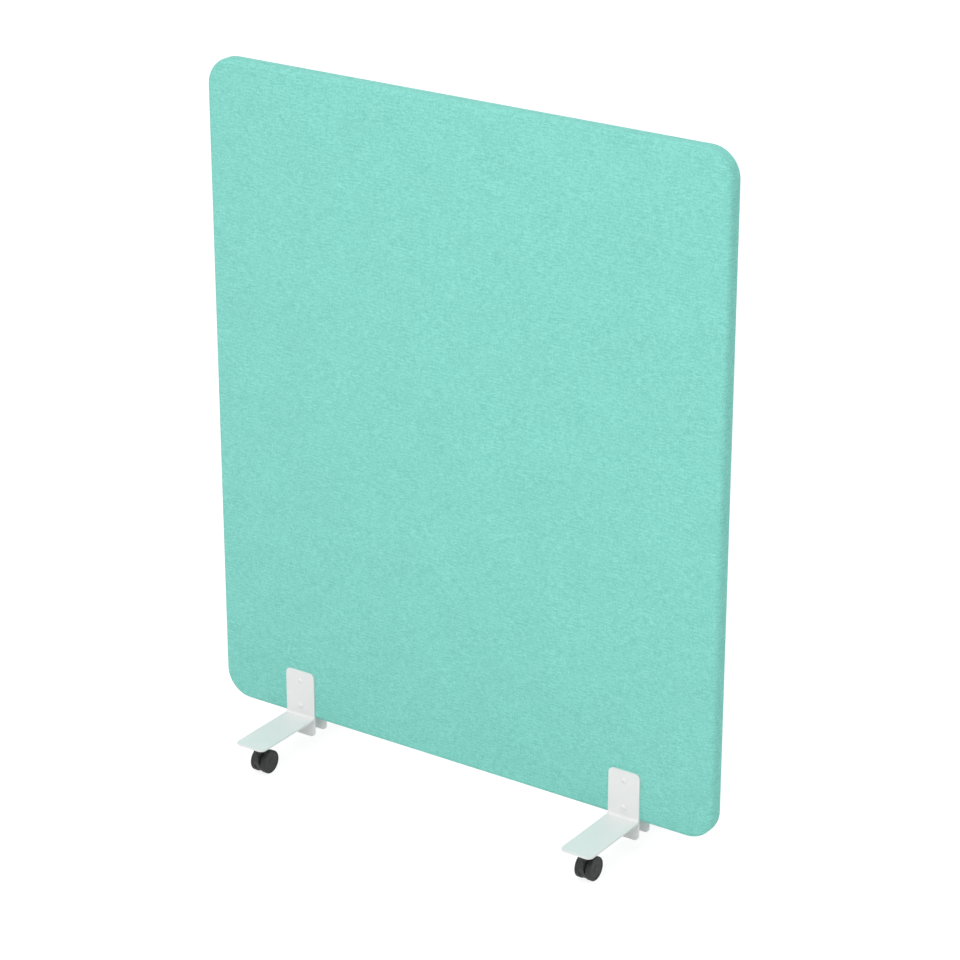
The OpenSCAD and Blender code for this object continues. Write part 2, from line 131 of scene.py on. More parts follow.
def mix_colours(tree, share, first, second, blend="MIX"):
    """One colour from two. This node has them as inputs 6 and 7, and the result as output 2."""
    inputs = {0: share, 6: first, 7: second}
    return node(tree, "ShaderNodeMix", inputs, data_type="RGBA", blend_type=blend).outputs[2]


def remap(tree, value, before, after):
    """A value that lies between the two of before, stretched to lie between the two of after."""
    inputs = {"Value": value, "From Min": before[0], "From Max": before[1],
              "To Min": after[0], "To Max": after[1]}
    return node(tree, "ShaderNodeMapRange", inputs).outputs["Result"]


def screen_colour(red, green, blue):
    """A colour as it reads on a screen, 0 to 255, in the linear values that nodes use."""
    def linear(level):
        share = level / 255
        return share / 12.92 if share <= 0.04045 else ((share + 0.055) / 1.055) ** 2.4
    return (linear(red), linear(green), linear(blue), 1.0)


# %% Start groups and materials
def new_group(name, inputs, outputs):
    tree = bpy.data.node_groups.new(name, "ShaderNodeTree")
    for label, kind, value in inputs:
        socket = tree.interface.new_socket(label, in_out="INPUT", socket_type=kind)
        if value is not None:
            socket.default_value = value
    for label, kind in outputs:
        tree.interface.new_socket(label, in_out="OUTPUT", socket_type=kind)
    return tree, tree.nodes.new("NodeGroupInput").outputs, tree.nodes.new("NodeGroupOutput").inputs


def new_material(name, roughness, metallic=0.0):
    material = bpy.data.materials.new(name)
    material.use_nodes = True
    tree = material.node_tree
    tree.nodes.clear()
    output = tree.nodes.new("ShaderNodeOutputMaterial")
    shader = tree.nodes.new("ShaderNodeBsdfPrincipled")
    shader.inputs["Roughness"].default_value = roughness
    shader.inputs["Metallic"].default_value = metallic
    tree.links.new(shader.outputs["BSDF"], output.inputs["Surface"])
    return material, tree, shader


def place_group(tree, group, inputs):
    return node(tree, "ShaderNodeGroup", inputs, node_tree=group)


def add_relief(tree, shader, height, distance, strength=1.0):
    inputs = {"Height": height, "Distance": distance, "Strength": strength}
    bump = node(tree, "ShaderNodeBump", inputs)
    tree.links.new(bump.outputs["Normal"], shader.inputs["Normal"])


# %% [markdown]
# ### The heathered weave
#
# The cloth is a plain weave of slubby, two-tone yarn. Up close, each yarn goes over and
# under its neighbours, and every pair of crossings has a shade of its own. From across a
# room that reads as fine flecks, with short, mostly level dashes where a yarn is thicker,
# and with faint level ribs about seven millimetres apart. The pattern is drawn on the
# cloth's own UV map, which is in metres and is laid round the board's edge, so the yarns
# turn the edge as real ones do.

# %% What the weave is made of
# Waves of noise in a metre of cloth: how yarns wander, where dashes are strong, and large clouds
WANDER_WAVES = 45.0
PATCH_WAVES = 20.0
CLOUD_WAVES = 9.0
# How far each mark goes of the way from the dark yarn to the light one
WEAK_DASH = 0.3
STRONG_DASH = 0.65
RIB_SHARE = 0.075
FLECK_SHARE = 0.85
# How strong an upright dash is beside a level one
UPRIGHT_SHARE = 0.5
# How far apart two rows of dashes lie in the noise, so that they aren't alike
ROW_STEP = 3.71
# Noise values at which a dark dash ends, plain yarn starts and ends, and a light dash starts
DARK_ENDS = 0.33
PLAIN_STARTS = 0.41
PLAIN_ENDS = 0.59
LIGHT_STARTS = 0.67
# Noise values between which dashes go from weak to strong
PATCH_SPAN = (0.38, 0.62)
print("dashes from", WEAK_DASH, "to", STRONG_DASH, "of the way between the two yarns")


# %% How the yarns wander, cross and vary
def wandering_place(tree, given):
    """The place on the cloth, shifted a little by noise so that no yarn is quite straight."""
    drift = node(tree, "ShaderNodeTexNoise",
                 {"Vector": given["Cloth"], "Scale": WANDER_WAVES, "Detail": 1.0},
                 noise_dimensions="2D")
    centred = node(tree, "ShaderNodeVectorMath", {0: drift.outputs["Color"], 1: (0.5, 0.5, 0.5)},
                   operation="SUBTRACT")
    moved = node(tree, "ShaderNodeVectorMath", {0: centred.outputs[0], "Scale": given["Wander"]},
                 operation="SCALE")
    place = node(tree, "ShaderNodeVectorMath", {0: given["Cloth"], 1: moved.outputs[0]},
                 operation="ADD")
    split = node(tree, "ShaderNodeSeparateXYZ", {0: place.outputs[0]})
    return split.outputs["X"], split.outputs["Y"]


def yarn_top(tree, own_round, other_round):
    """The height of one yarn: round across its width, and lower where it dives under another."""
    dive = maths(tree, "MULTIPLY_ADD", other_round, 0.5, 0.5)
    return maths(tree, "MULTIPLY", maths(tree, "SQRT", own_round), dive)


def crossing_height(tree, along, up):
    """The height of the yarn that lies on top, where both counts go up by one from yarn to yarn."""
    warp_wave = maths(tree, "SINE", maths(tree, "MULTIPLY", along, math.pi))
    weft_wave = maths(tree, "SINE", maths(tree, "MULTIPLY", up, math.pi))
    warp_round = maths(tree, "ABSOLUTE", warp_wave)
    weft_round = maths(tree, "ABSOLUTE", weft_wave)
    over = maths(tree, "GREATER_THAN", maths(tree, "MULTIPLY", warp_wave, weft_wave), 0.0)
    warp_top = yarn_top(tree, warp_round, weft_round)
    weft_top = yarn_top(tree, weft_round, warp_round)
    height = node(tree, "ShaderNodeMix", {0: over, 2: weft_top, 3: warp_top}, data_type="FLOAT")
    return height.outputs[0]


def pair_shade(tree, along, up):
    """A shade from -0.5 to 0.5 for each pair of crossings side by side."""
    pair_along = maths(tree, "FLOOR", maths(tree, "MULTIPLY", along, 0.5))
    pair = node(tree, "ShaderNodeCombineXYZ", {"X": pair_along, "Y": maths(tree, "FLOOR", up)})
    chance = node(tree, "ShaderNodeTexWhiteNoise", {"Vector": pair.outputs[0]},
                  noise_dimensions="2D")
    return maths(tree, "SUBTRACT", chance.outputs["Value"], 0.5)


def slubs(tree, given, row, run, seed):
    """Dashes along one direction: -0.5 where dark, 0.5 where light, 0 where the yarn is plain."""
    count = maths(tree, "FLOOR", maths(tree, "DIVIDE", row, given["Slub"]))
    line = maths(tree, "MULTIPLY_ADD", count, ROW_STEP, seed)
    step = maths(tree, "DIVIDE", run, given["Dash"])
    where = node(tree, "ShaderNodeCombineXYZ", {"X": step, "Y": line})
    chance = node(tree, "ShaderNodeTexNoise",
                  {"Vector": where.outputs[0], "Scale": 1.0, "Detail": 0.0}, noise_dimensions="2D")
    marks = node(tree, "ShaderNodeValToRGB", {"Fac": chance.outputs["Fac"]})
    stops = marks.color_ramp.elements
    stops[0].position = DARK_ENDS
    stops[0].color = (0, 0, 0, 1)
    stops[1].position = LIGHT_STARTS
    stops[1].color = (1, 1, 1, 1)
    for spot in (PLAIN_STARTS, PLAIN_ENDS):
        stops.new(spot).color = (0.5, 0.5, 0.5, 1)
    return maths(tree, "SUBTRACT", marks.outputs["Color"], 0.5)


def dash_strength(tree, given):
    patch = node(tree, "ShaderNodeTexNoise",
                 {"Vector": given["Cloth"], "Scale": PATCH_WAVES, "Detail": 1.0},
                 noise_dimensions="2D")
    return remap(tree, patch.outputs["Fac"], PATCH_SPAN, (WEAK_DASH, STRONG_DASH))


# %% The weave as a node group
def build_weave():
    tree, given, out = new_group(
        "heathered weave",
        [
            ("Cloth", "NodeSocketVector", None),
            ("Yarn", "NodeSocketFloat", 0.0013),
            ("Slub", "NodeSocketFloat", 0.0018),
            ("Dash", "NodeSocketFloat", 0.014),
            ("Wander", "NodeSocketFloat", 0.0006),
            ("Rib", "NodeSocketFloat", 0.00715),
        ],
        [("Tone", "NodeSocketFloat"), ("Height", "NodeSocketFloat"), ("Cloud", "NodeSocketFloat")],
    )
    across, upward = wandering_place(tree, given)
    along = maths(tree, "DIVIDE", across, given["Yarn"])
    up = maths(tree, "DIVIDE", upward, given["Yarn"])
    height = crossing_height(tree, along, up)
    level = slubs(tree, given, upward, across, seed=0.37)
    upright = slubs(tree, given, across, upward, seed=9.13)
    dashes = maths(tree, "MULTIPLY_ADD", upright, UPRIGHT_SHARE, level)
    strength = dash_strength(tree, given)
    fleck = pair_shade(tree, along, up)
    turns = maths(tree, "DIVIDE", upward, given["Rib"])
    rib = maths(tree, "SINE", maths(tree, "MULTIPLY", turns, 2 * math.pi))
    ribbed = maths(tree, "MULTIPLY_ADD", rib, RIB_SHARE, 0.5)
    flecked = maths(tree, "MULTIPLY_ADD", fleck, FLECK_SHARE, ribbed)
    tone = maths(tree, "MULTIPLY_ADD", dashes, strength, flecked)
    cloud = node(tree, "ShaderNodeTexNoise",
                 {"Vector": given["Cloth"], "Scale": CLOUD_WAVES, "Detail": 3.0, "Roughness": 0.55},
                 noise_dimensions="2D")
    tree.links.new(tone, out["Tone"])
    tree.links.new(height, out["Height"])
    tree.links.new(cloud.outputs["Fac"], out["Cloud"])
    return tree


weave = build_weave()
print("weave group with", len(weave.nodes), "nodes")


# %% The cloth's material
DARK_YARN = screen_colour(120, 199, 186)
LIGHT_YARN = screen_colour(145, 221, 210)
# The values that nearly all of a noise lies between, how light a cloud gets, and the weave's painted
# shade: darker where a yarn dives, lighter on its top
NOISE_SPAN = (0.3, 0.7)
CLOUD_LIGHT = (0.985, 1.015)
CROSSING_PAINTED_SHADE = (0.93, 1.04)
YARN_RELIEF = 0.00035


def screen_cloth():
    material, tree, shader = new_material("pale green heathered cloth", 0.92)
    uv = node(tree, "ShaderNodeUVMap", uv_map="cloth")
    woven = place_group(tree, weave, {"Cloth": uv.outputs["UV"]})
    yarns = mix_colours(tree, woven.outputs["Tone"], DARK_YARN, LIGHT_YARN)
    cloud = remap(tree, woven.outputs["Cloud"], NOISE_SPAN, CLOUD_LIGHT)
    # Painted shade and highlight: the colour follows the yarn height, darker in the hollows where a
    # yarn dives and lighter on its top
    painted_crossing_shade = remap(tree, woven.outputs["Height"], (0.0, 1.0), CROSSING_PAINTED_SHADE)
    light = maths(tree, "MULTIPLY", cloud, painted_crossing_shade)
    toned = mix_colours(tree, 1.0, yarns, light, blend="MULTIPLY")
    tree.links.new(toned, shader.inputs["Base Color"])
    shader.inputs["Sheen Weight"].default_value = 0.05
    shader.inputs["Sheen Roughness"].default_value = 0.5
    shader.inputs["Specular IOR Level"].default_value = 0.15
    add_relief(tree, shader, woven.outputs["Height"], YARN_RELIEF, strength=0.8)
    return material


cloth = screen_cloth()
print("cloth material ready")


# %% [markdown]
# ### Powder coat, moulded nylon and plated steel
#
# Powder coat dries with a faint orange-peel ripple about a millimetre across. Moulded
# nylon has a fine spark-eroded grain, a third of that size. Plated steel is smooth, and
# only its gloss is a little uneven. All these grains are one group: a fine noise for the
# relief and a wide one for colour and gloss, both in the piece's own coordinates.

# %% Fine surface grain as a node group
# Waves of the wide noise for each wave of the fine one, and how far the gloss drifts
WIDE_SHARE = 0.04
GLOSS_DRIFT = (0.9, 1.1)


def build_grain():
    tree, given, out = new_group(
        "fine surface grain",
        [
            ("Place", "NodeSocketVector", None),
            ("Size", "NodeSocketFloat", 0.001),
            ("Sharpness", "NodeSocketFloat", 0.5),
        ],
        [("Height", "NodeSocketFloat"), ("Cloud", "NodeSocketFloat")],
    )
    fine_waves = maths(tree, "DIVIDE", 1.0, given["Size"])
    wide_waves = maths(tree, "MULTIPLY", fine_waves, WIDE_SHARE)
    fine = node(tree, "ShaderNodeTexNoise",
                {"Vector": given["Place"], "Scale": fine_waves, "Detail": 2.0,
                 "Roughness": given["Sharpness"]})
    wide = node(tree, "ShaderNodeTexNoise",
                {"Vector": given["Place"], "Scale": wide_waves, "Detail": 2.0})
    tree.links.new(fine.outputs["Fac"], out["Height"])
    tree.links.new(wide.outputs["Fac"], out["Cloud"])
    return tree


grain = build_grain()


def grained_finish(name, dark, light, roughness, size, relief, metallic=0.0, shine=0.5):
    """A finish whose colour drifts between two near shades, with a fine grain of the given size."""
    material, tree, shader = new_material(name, roughness, metallic)
    place = node(tree, "ShaderNodeTexCoord")
    made = place_group(tree, grain, {"Place": place.outputs["Object"], "Size": size})
    shade = mix_colours(tree, made.outputs["Cloud"], dark, light)
    tree.links.new(shade, shader.inputs["Base Color"])
    gloss = remap(tree, made.outputs["Cloud"], NOISE_SPAN,
                  [roughness * drift for drift in GLOSS_DRIFT])
    tree.links.new(gloss, shader.inputs["Roughness"])
    shader.inputs["Specular IOR Level"].default_value = shine
    add_relief(tree, shader, made.outputs["Height"], relief)
    return material


powder_coat = grained_finish(
    "white powder coat", screen_colour(226, 226, 226), screen_colour(231, 231, 230),
    roughness=0.42, size=0.0011, relief=0.00003,
)
screw_coat = grained_finish(
    "white screw coating", screen_colour(228, 228, 227), screen_colour(233, 233, 232),
    roughness=0.4, size=0.0008, relief=0.00001,
)
nylon = grained_finish(
    "charcoal moulded nylon", screen_colour(43, 44, 44), screen_colour(49, 50, 50),
    roughness=0.55, size=0.0004, relief=0.00003, shine=0.3,
)
plated_steel = grained_finish(
    "zinc plated steel", screen_colour(190, 193, 196), screen_colour(214, 215, 216),
    roughness=0.28, size=0.0006, relief=0.00001, metallic=1.0,
)
print("hard finishes ready")


# %% [markdown]
# ### What is inside the panel
#
# The filling and the frame don't show in the finished screen, but an exploded view or a
# cut shows them, so they get honest materials too: open foam, pressed felt and sawn
# softwood with its grain along each rail.

# %% Foam, felt and softwood
# Foam cells in a metre, and how the noise is squeezed and turned for the felt's fibres
FOAM_CELLS = 700.0
FELT_SQUEEZE = (160, 1500, 1500)
FELT_TILT = (0.5, 0.4, 0.6)


def foam_finish():
    material, tree, shader = new_material("open cell foam", 0.95)
    place = node(tree, "ShaderNodeTexCoord")
    cells = node(tree, "ShaderNodeTexVoronoi",
                 {"Vector": place.outputs["Object"], "Scale": FOAM_CELLS})
    # The pores are painted darker than the cell walls around them: painted shade in the pores, from
    # the same cells as the relief
    shade = mix_colours(tree, cells.outputs["Distance"],
                        screen_colour(214, 210, 196), screen_colour(236, 233, 222))
    tree.links.new(shade, shader.inputs["Base Color"])
    add_relief(tree, shader, cells.outputs["Distance"], 0.0005)
    return material


def felt_finish():
    material, tree, shader = new_material("pressed fibre felt", 0.97)
    place = node(tree, "ShaderNodeTexCoord")
    stretched = node(tree, "ShaderNodeMapping",
                     {"Vector": place.outputs["Object"], "Rotation": FELT_TILT,
                      "Scale": FELT_SQUEEZE})
    fibres = node(tree, "ShaderNodeTexNoise",
                  {"Vector": stretched.outputs["Vector"], "Scale": 1.0, "Detail": 4.0,
                   "Distortion": 1.5})
    shade = mix_colours(tree, fibres.outputs["Fac"],
                        screen_colour(96, 99, 101), screen_colour(160, 162, 162))
    tree.links.new(shade, shader.inputs["Base Color"])
    add_relief(tree, shader, fibres.outputs["Fac"], 0.0004)
    return material


def softwood(name, squeeze):
    """Sawn pine. The noise is squeezed in two directions, so that its grain runs in the third."""
    material, tree, shader = new_material(name, 0.7)
    place = node(tree, "ShaderNodeTexCoord")
    stretched = node(tree, "ShaderNodeMapping",
                     {"Vector": place.outputs["Object"], "Scale": squeeze})
    rings = node(tree, "ShaderNodeTexNoise",
                 {"Vector": stretched.outputs["Vector"], "Scale": 1.0, "Detail": 5.0,
                  "Distortion": 0.6})
    shade = mix_colours(tree, rings.outputs["Fac"],
                        screen_colour(190, 148, 98), screen_colour(234, 204, 156))
    tree.links.new(shade, shader.inputs["Base Color"])
    add_relief(tree, shader, rings.outputs["Fac"], 0.0002)
    return material


foam = foam_finish()
felt = felt_finish()
wood_level = softwood("pine with level grain", (6, 260, 260))
wood_upright = softwood("pine with upright grain", (260, 260, 6))
print("inner finishes ready")


# %% Give the pieces that stay from the frame their finishes
LEVEL_WOOD = (
    "frame_top_rail", "frame_bottom_rail",
    "frame_corner_blocks", "frame_foot_blocks", "frame_dowels",
)
FEET = ("front_left", "front_right", "rear_left", "rear_right")


def paint(name, material):
    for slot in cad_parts[name].material_slots:
        slot.material = material


for name in ("front_foam", "rear_foam"):
    paint(name, foam)
paint("acoustic_core", felt)
for name in LEVEL_WOOD:
    paint(name, wood_level)
for name in ("frame_left_stile", "frame_right_stile"):
    paint(name, wood_upright)
for name in ("left_foot_sleeves", "right_foot_sleeves"):
    paint(name, plated_steel)
for foot in FEET:
    for part in ("stem", "retaining_ring", "axle"):
        paint(f"{foot}_{part}", plated_steel)
print("painted the pieces that keep their shape")


# %% [markdown]
# ## The cloth covers
#
# On the real screen one cloth is pulled tight over each face of the padded board, round
# its rounded rim, and the two meet in a fine seam along the middle of the edge. A cloth
# simulation adds little to a sheet under that much tension. So the sheet is built as
# the upholsterer sees it: a flat face with rounded corners, a rim folded back with a
# bevel, holes for the fixing sleeves, and then the small signs of padding. The face
# stands a little proud of the board, and dips where a bracket's plate presses on it.

# %% The outline, folded back round the rim
# How far from the middle of the rim each cloth ends
SEAM_GAP = 0.00015


def folded_face():
    """The front cloth without thickness: a rounded face, its rim turned back to the seam."""
    mesh = bmesh.new()
    bmesh.ops.create_grid(mesh, x_segments=1, y_segments=1, size=0.5)
    bmesh.ops.scale(mesh, vec=(PANEL_W, PANEL_H, 1), verts=mesh.verts)
    bmesh.ops.bevel(mesh, geom=mesh.verts[:], affect="VERTICES", offset=CORNER_R,
                    offset_type="OFFSET", segments=16, profile=0.5, material=-1)
    bmesh.ops.rotate(mesh, matrix=Matrix.Rotation(math.radians(90), 3, "X"), verts=mesh.verts)
    bmesh.ops.translate(mesh, vec=(0, -FACE_Y, PANEL_Z + PANEL_H / 2), verts=mesh.verts)
    face = mesh.faces[:]
    outline = list(face[0].edges)
    folded = bmesh.ops.extrude_edge_only(mesh, edges=outline)["geom"]
    back = [item for item in folded if isinstance(item, bmesh.types.BMVert)]
    bmesh.ops.translate(mesh, vec=(0, FACE_Y - SEAM_GAP, 0), verts=back)
    bmesh.ops.bevel(mesh, geom=list(face[0].edges), affect="EDGES", offset=RIM_R,
                    offset_type="OFFSET", segments=8, profile=0.5, material=-1)
    return mesh


# %% Find the plates and their screws
# Heights of a plate's two screws above the panel's bottom edge
SCREW_RISES = (0.024, 0.083)


def plate_edges():
    """The left, right and top edge of the two front plates, which reach down past the cloth."""
    edges = []
    for foot in ("front_left", "front_right"):
        low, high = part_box(f"{foot}_bracket")
        edges.append((low.x, high.x, high.z))
    return edges


PLATES = plate_edges()
SCREWS = [
    ((left + right) / 2, PANEL_Z + rise)
    for left, right, top in PLATES
    for rise in SCREW_RISES
]
print(len(PLATES), "plates and", len(SCREWS), "screws on each face")


# %% Cut the face into small squares, with finer ones round the plates
SQUARE = 0.03
FINE_SQUARE = 0.003
# How far the fine squares go in under a plate's edge, and how far beyond it the cloth dips
PLATE_BORDER = 0.004
PRESS_REACH = 0.014
# Half the side of the square that is opened round a screw, before it becomes a round hole
HOLE_FRAME = 0.008
# A corner this near a cut counts as lying on it
ON_THE_CUT = 0.00001


def spaced(low, high, step):
    count = max(1, round((high - low) / step))
    return [low + (high - low) * index / count for index in range(count + 1)]


def in_order(lines, closest=0.001):
    """The lines in order, without any that stands closer than that to the one before."""
    kept = []
    for line in sorted(lines):
        if not kept or line - kept[-1] > closest:
            kept.append(line)
    return kept


def cut_lines():
    across = set(spaced(-PANEL_W / 2 + CORNER_R, PANEL_W / 2 - CORNER_R, SQUARE))
    upward = set(spaced(PANEL_Z + CORNER_R, PANEL_Z + PANEL_H - CORNER_R, SQUARE))
    for left, right, top in PLATES:
        across.update(spaced(left - PRESS_REACH, left + PLATE_BORDER, FINE_SQUARE))
        across.update(spaced(right - PLATE_BORDER, right + PRESS_REACH, FINE_SQUARE))
        upward.update(spaced(top - PLATE_BORDER, top + PRESS_REACH, FINE_SQUARE))
    for x, z in SCREWS:
        across.update((x - HOLE_FRAME, x + HOLE_FRAME))
        upward.update((z - HOLE_FRAME, z + HOLE_FRAME))
    return in_order(across), in_order(upward)


def cut_through(mesh, place, direction):
    everything = mesh.verts[:] + mesh.edges[:] + mesh.faces[:]
    bmesh.ops.bisect_plane(mesh, geom=everything, plane_co=place, plane_no=direction,
                           dist=ON_THE_CUT)


def cut_squares(mesh):
    across, upward = cut_lines()
    for x in across:
        cut_through(mesh, (x, 0, 0), (1, 0, 0))
    for z in upward:
        cut_through(mesh, (0, 0, z), (0, 0, 1))


# %% Open round holes for the sleeves that the screws go into
# Play round a sleeve, and play when the edges of the square opening are looked up
HOLE_PLAY = 0.0001
FRAME_PLAY = 0.0005
sleeve_low, sleeve_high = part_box("left_foot_sleeves")
HOLE_R = (sleeve_high.x - sleeve_low.x) / 2 + HOLE_PLAY


def beside(point, x, z, reach):
    return abs(point.x - x) < reach and abs(point.z - z) < reach


def open_holes(mesh):
    for x, z in SCREWS:
        inside = [
            face for face in mesh.faces
            if beside(face.calc_center_median(), x, z, HOLE_FRAME)
        ]
        bmesh.ops.delete(mesh, geom=inside, context="FACES")
        square = [
            edge for edge in mesh.edges
            if edge.is_boundary
            and all(beside(vert.co, x, z, HOLE_FRAME + FRAME_PLAY) for vert in edge.verts)
        ]
        turn = Matrix.Translation((x, -FACE_Y, z)) @ Matrix.Rotation(math.radians(90), 4, "X")
        bmesh.ops.create_circle(mesh, segments=24, radius=HOLE_R, matrix=turn)
        circle = [edge for edge in mesh.edges if edge.is_wire]
        bmesh.ops.bridge_loops(mesh, edges=square + circle)


print(f"holes with a radius of {HOLE_R * 1000:.1f} mm")


# %% [markdown]
# The dip round a plate is a smooth ramp: no puff under the plate, and the full puff a
# little more than a centimetre away. The UV map is laid while the face is still flat.
# There it is simply the place in metres, and round the rim the distance goes on along the
# curve, so that the weave isn't stretched.

# %% Puff, dip and UV map
# How proud the face stands, and how wide the fade is that starts with the rim's curve
PUFF = 0.0012
PUFF_FADE = 0.02
# The face also rises and falls a little, by so much and with so many radians in a metre
RIPPLE = 0.00012
RIPPLE_ACROSS = 23.0
RIPPLE_UP = 17.0
# A corner that has turned by so many radians may lie behind the rim's curve, on the flank
NEARLY_A_QUARTER_TURN = 1.5


def ease(share):
    share = min(1.0, max(0.0, share))
    return share * share * (3 - 2 * share)


def distance_to_plates(x, z):
    away = []
    for left, right, top in PLATES:
        aside = max(left - x, 0, x - right)
        above = max(z - top, 0)
        away.append(math.hypot(aside, above))
    return min(away)


def rim_place(co):
    """Where a point lies in the rounded outline: its nearest inner point, the way out, how far."""
    half_w = PANEL_W / 2 - CORNER_R
    low_z = PANEL_Z + CORNER_R
    high_z = PANEL_Z + PANEL_H - CORNER_R
    inner = Vector((min(half_w, max(-half_w, co.x)), 0, min(high_z, max(low_z, co.z))))
    out = Vector((co.x, 0, co.z)) - inner
    far = out.length
    return inner, (out / far if far > 1e-7 else Vector((0, 0, 0))), far


def puff_cloth(mesh):
    for vert in mesh.verts:
        inner, out, far = rim_place(vert.co)
        edge_share = ease((CORNER_R - RIM_R - far) / PUFF_FADE + 1)
        press = ease(distance_to_plates(vert.co.x, vert.co.z) / PRESS_REACH)
        wave = math.sin(vert.co.x * RIPPLE_ACROSS + 0.7) * math.sin(vert.co.z * RIPPLE_UP + 0.3)
        facing = ease((-vert.co.y - FACE_Y + RIM_R) / RIM_R)
        vert.co.y -= (PUFF + RIPPLE * wave) * press * edge_share * facing


def lay_uv(mesh):
    layer = mesh.loops.layers.uv.new("cloth")
    flat_edge = CORNER_R - RIM_R
    for face in mesh.faces:
        for loop in face.loops:
            inner, out, far = rim_place(loop.vert.co)
            run = far
            if far > flat_edge:
                turned = math.asin(min(1.0, (far - flat_edge) / RIM_R))
                run = flat_edge + RIM_R * turned
                flank = loop.vert.co.y + FACE_Y - RIM_R
                if turned > NEARLY_A_QUARTER_TURN and flank > 0:
                    run += flank
            spot = inner + out * run
            loop[layer].uv = (spot.x, spot.z)


# %% Build both covers
CLOTH_T = 0.0012


def cloth_cover(name, back_to_front):
    """The front cloth, or the rear one, which is the same turned round."""
    mesh = folded_face()
    cut_squares(mesh)
    open_holes(mesh)
    bmesh.ops.recalc_face_normals(mesh, faces=mesh.faces)
    if sum(face.normal.y * face.calc_area() for face in mesh.faces) > 0:
        bmesh.ops.reverse_faces(mesh, faces=mesh.faces)
    lay_uv(mesh)
    puff_cloth(mesh)
    if back_to_front:
        bmesh.ops.rotate(mesh, matrix=Matrix.Rotation(math.pi, 3, "Z"), verts=mesh.verts)
    piece = finish_piece(mesh, name, cloth, sharp=60)
    thickness = piece.modifiers.new("cloth thickness", "SOLIDIFY")
    thickness.thickness = CLOTH_T
    thickness.offset = -1
    return piece


# What both edges add: a flank each, and a quarter round that is longer than it is wide
for side in ("front", "rear"):
    cover = cloth_cover(f"{side}_fabric_cover", side == "rear")
    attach(cover, "root")
    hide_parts(f"{side}_cover")
    print(cover.name, len(cover.data.polygons), "faces")


# %% [markdown]
# ## The steel and nylon parts
#
# The frame has the true shape of these parts, with edges as sharp as a drawing. A real
# bracket is tumbled before it is coated, and a moulding has a small radius everywhere.
# So each is copied, its loose triangles are merged into clean faces, and every sharp
# edge is rounded by a few tenths of a millimetre. The rounded edge catches a line of
# light, which is how the eye reads metal and plastic.

# %% Copy a node and round its edges
# Corners this near become one, faces that turn by less become one, edges that turn more are rounded
SAME_POINT = 0.000002
FLAT_TURN = math.radians(0.4)
SHARP_TURN = math.radians(28)


def rounded_copy(name, ending, material, body, radius, segments=2):
    mesh = bmesh.new()
    mesh.from_mesh(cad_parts[name].data)
    bmesh.ops.remove_doubles(mesh, verts=mesh.verts, dist=SAME_POINT)
    bmesh.ops.dissolve_limit(mesh, angle_limit=FLAT_TURN, verts=mesh.verts, edges=mesh.edges)
    edges = [
        edge for edge in mesh.edges
        if edge.is_manifold and edge.calc_face_angle() > SHARP_TURN
    ]
    bmesh.ops.bevel(mesh, geom=edges, affect="EDGES", offset=radius, offset_type="OFFSET",
                    segments=segments, profile=0.5, material=-1, clamp_overlap=True)
    piece = finish_piece(mesh, f"{name}_{ending}", material)
    keep_faces_flat(piece)
    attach(piece, body)
    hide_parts(name)


def coated_copy(name, material, radius, segments=2):
    rounded_copy(name, "coated", material, "root", radius, segments)


def moulded_copy(name, body, radius):
    rounded_copy(name, "moulded", nylon, body, radius)


for foot in FEET:
    coated_copy(f"{foot}_bracket", powder_coat, radius=0.0005, segments=3)
    coated_copy(f"{foot}_screws", screw_coat, radius=0.0003)
    coated_copy(f"{foot}_stem_boss", powder_coat, radius=0.0003)
    moulded_copy(f"{foot}_caster_body", f"{foot}_caster", radius=0.0004)
    for side in ("left", "right"):
        moulded_copy(f"{foot}_{side}_wheel", f"{foot}_{side}_roller", radius=0.0003)
print("rounded the brackets, screws, bosses and casters")


# %% [markdown]
# ## Floor, light and camera
#
# A plain studio. An even white sky gives most of the light. One softbox in front, a little
# above the screen, makes the upper cloth lighter than the lower. Two suns with very wide
# discs, one overhead and one behind, light the tops of the arms and the back. All of them
# are wide, so no hard shadow falls on the white steel. The floor shows white to the camera
# but keeps part of its real shading, so that the screen stands on its own soft shadow.

# %% Floor and sky
# The floor's own grey, how bright it glows, and how much of what is seen of it is that glow
FLOOR_GREY = 0.85
FLOOR_GLOW = 1.20
GLOW_SHARE = 0.7
# How strong the sky is as a light. Where it is seen itself, it is plain white
SKY = 0.58


def seen_itself(tree):
    """1 where a thing is seen, also in gloss or through glass, and 0 where it only gives light."""
    path = node(tree, "ShaderNodeLightPath")
    glossy_or_clear = maths(tree, "MAXIMUM", path.outputs["Is Glossy Ray"],
                            path.outputs["Is Transmission Ray"])
    return maths(tree, "MAXIMUM", path.outputs["Is Camera Ray"], glossy_or_clear)


def white_floor():
    material = bpy.data.materials.new("studio floor")
    material.use_nodes = True
    tree = material.node_tree
    tree.nodes.clear()
    output = tree.nodes.new("ShaderNodeOutputMaterial")
    matt = node(tree, "ShaderNodeBsdfDiffuse", {"Color": (FLOOR_GREY, FLOOR_GREY, FLOOR_GREY, 1)})
    glow = node(tree, "ShaderNodeEmission", {"Color": (1, 1, 1, 1), "Strength": FLOOR_GLOW})
    share = maths(tree, "MULTIPLY", seen_itself(tree), GLOW_SHARE)
    both = node(tree, "ShaderNodeMixShader", {0: share, 1: matt.outputs[0], 2: glow.outputs[0]})
    tree.links.new(both.outputs[0], output.inputs["Surface"])
    mesh = bmesh.new()
    bmesh.ops.create_grid(mesh, x_segments=1, y_segments=1, size=40)
    floor = finish_piece(mesh, "studio_floor", material)


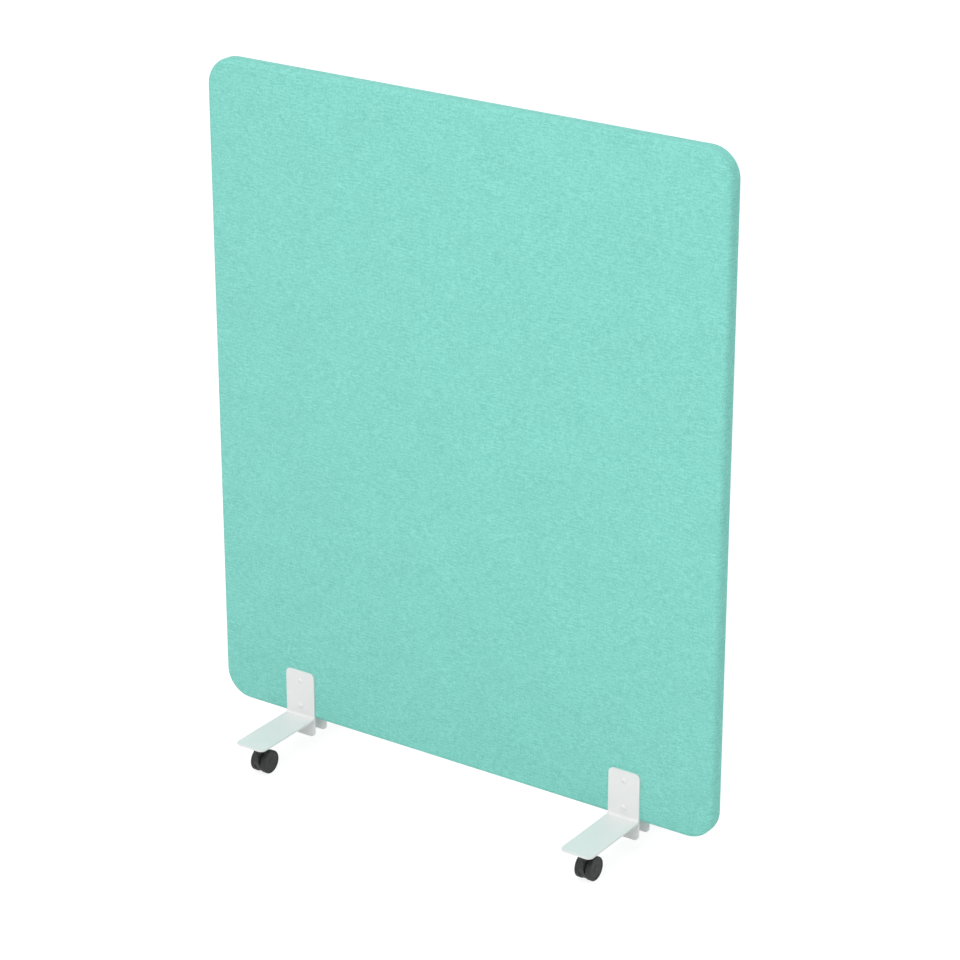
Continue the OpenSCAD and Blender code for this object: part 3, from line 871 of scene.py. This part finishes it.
def white_sky(level):
    world = bpy.data.worlds.new("studio sky")
    bpy.context.scene.world = world
    world.use_nodes = True
    tree = world.node_tree
    tree.nodes.clear()
    output = tree.nodes.new("ShaderNodeOutputWorld")
    dim = node(tree, "ShaderNodeBackground", {"Color": (1, 1, 1, 1), "Strength": level})
    white = node(tree, "ShaderNodeBackground", {"Color": (1, 1, 1, 1), "Strength": 1.0})
    both = node(tree, "ShaderNodeMixShader",
                {0: seen_itself(tree), 1: dim.outputs[0], 2: white.outputs[0]})
    tree.links.new(both.outputs[0], output.inputs["Surface"])


white_floor()
white_sky(SKY)
print("floor and sky ready")


# %% Lamps
def hang_lamp(name, kind, place, target, power):
    lamp = bpy.data.lights.new(name, kind)
    lamp.energy = power
    holder = bpy.data.objects.new(name, lamp)
    holder.location = place
    holder.rotation_euler = (Vector(target) - Vector(place)).to_track_quat("-Z", "Y").to_euler()
    bpy.context.scene.collection.objects.link(holder)
    return lamp


def softbox(name, place, target, power, size):
    lamp = hang_lamp(name, "AREA", place, target, power)
    lamp.shape = "SQUARE"
    lamp.size = size


def soft_sun(name, place, power, disc):
    lamp = hang_lamp(name, "SUN", place, (0, 0, 0), power)
    lamp.angle = math.radians(disc)


softbox("softbox in front", place=(0.4, -3.2, 2.4), target=(0, 0, 0.9), power=45, size=2.0)
soft_sun("wash from above", place=(0, -0.5, 6), power=1.1, disc=60)
soft_sun("wash from behind", place=(1, 5, 2), power=0.75, disc=60)
bpy.context.scene.view_settings.view_transform = "Standard"
print("three lamps hung")

# %% [markdown]
# The camera stands to the right of the screen and looks down on it, with a long lens,
# as in a catalogue picture. Its angles are in degrees: down from the level, and round
# from straight ahead.

# %% Camera
IMAGE_SIZE = 960
FOCAL_PIXELS = 3166
CAMERA_PLACE = (3.278, -4.759, 3.088)
LOOK_DOWN = 22.46
LOOK_ROUND = 34.21
lens = bpy.data.cameras.new("catalogue camera")
lens.sensor_width = 36
lens.lens = FOCAL_PIXELS / IMAGE_SIZE * lens.sensor_width
camera = bpy.data.objects.new("catalogue camera", lens)
camera.location = CAMERA_PLACE
camera.rotation_euler = (math.radians(90 - LOOK_DOWN), 0, math.radians(LOOK_ROUND))
bpy.context.scene.collection.objects.link(camera)
bpy.context.scene.camera = camera
print(f"lens {lens.lens:.1f} mm")
